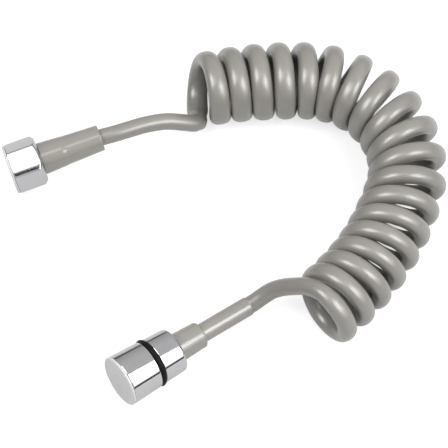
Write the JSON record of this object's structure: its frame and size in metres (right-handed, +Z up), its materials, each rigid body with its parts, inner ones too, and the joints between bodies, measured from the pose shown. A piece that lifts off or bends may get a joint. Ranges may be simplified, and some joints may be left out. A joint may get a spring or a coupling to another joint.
{
  "type": "coiled shower hose",
  "caption": "Coiled spring hose with a hexagon swivel nut on one end and a round swivel nut with a rubber ring on the other, both closed by push-in caps.",
  "frame": {"origin": "middle of the hose's footprint, on the surface it lies on", "axes": "+Z up; +Y from the spray fitting toward the coil's supply arm; +X from the hexagon nut toward the bend"},
  "size_m": [0.2343, 0.2093, 0.0416],
  "materials": {
    "chrome": "polished",
    "hose_plastic": "satin",
    "sleeve_plastic": "satin",
    "cap_plastic": "satin",
    "ring_rubber": "satin",
    "washer_rubber": "matte",
    "brass": "satin",
    "nylon": "satin",
    "ferrule_steel": "satin"
  },
  "bodies": {
    "root": {"supply_washer": "washer_rubber", "supply_insert": "brass", "supply_glide_ring": "nylon", "supply_ferrule": "ferrule_steel", "supply_sleeve": "sleeve_plastic", "supply_lead": "hose_plastic", "coil_supply_arm": "hose_plastic", "coil_bend": "hose_plastic", "coil_reach": "hose_plastic", "coil_spray_arm": "hose_plastic"},
    "hex_nut": {"hex_nut": "chrome"},
    "spray_end": {"coil_end_turn": "hose_plastic", "spray_lead": "hose_plastic", "slim_sleeve": "sleeve_plastic", "collar": "sleeve_plastic", "swivel_barrel": "chrome", "rubber_ring": "ring_rubber", "spray_washer": "washer_rubber", "spray_insert": "brass", "spray_glide_ring": "nylon", "spray_ferrule": "ferrule_steel"},
    "round_nut": {"round_nut": "chrome"},
    "nut_cap": {"nut_cap": "cap_plastic"},
    "spray_cap": {"spray_cap": "cap_plastic"}
  },
  "joints": [
    {"name": "hex_nut_spin", "type": "hinge", "parent": "root", "child": "hex_nut", "pos_m": [-0.1122, 0.0324, 0.0136], "axis": [0.9385, 0.3231, 0.1219], "continuous": true},
    {"name": "coil_stretch", "type": "slide", "parent": "root", "child": "spray_end", "axis": [-0.4384, -0.8988, 0], "range_m": [0, 0.25], "stiffness_N_per_m": 12, "deforming": ["coil_reach", "coil_spray_arm"]},
    {"name": "round_nut_spin", "type": "hinge", "parent": "spray_end", "child": "round_nut", "pos_m": [-0.0513, -0.0932, 0.0149], "axis": [0.8059, 0.5855, -0.0872], "continuous": true},
    {"name": "nut_cap_pull", "type": "slide", "parent": "hex_nut", "child": "nut_cap", "axis": [-0.9385, -0.3231, -0.1219], "range_m": [0, 0.012]},
    {"name": "spray_cap_pull", "type": "slide", "parent": "round_nut", "child": "spray_cap", "axis": [-0.8059, -0.5855, 0.0872], "range_m": [0, 0.012]}
  ]
}
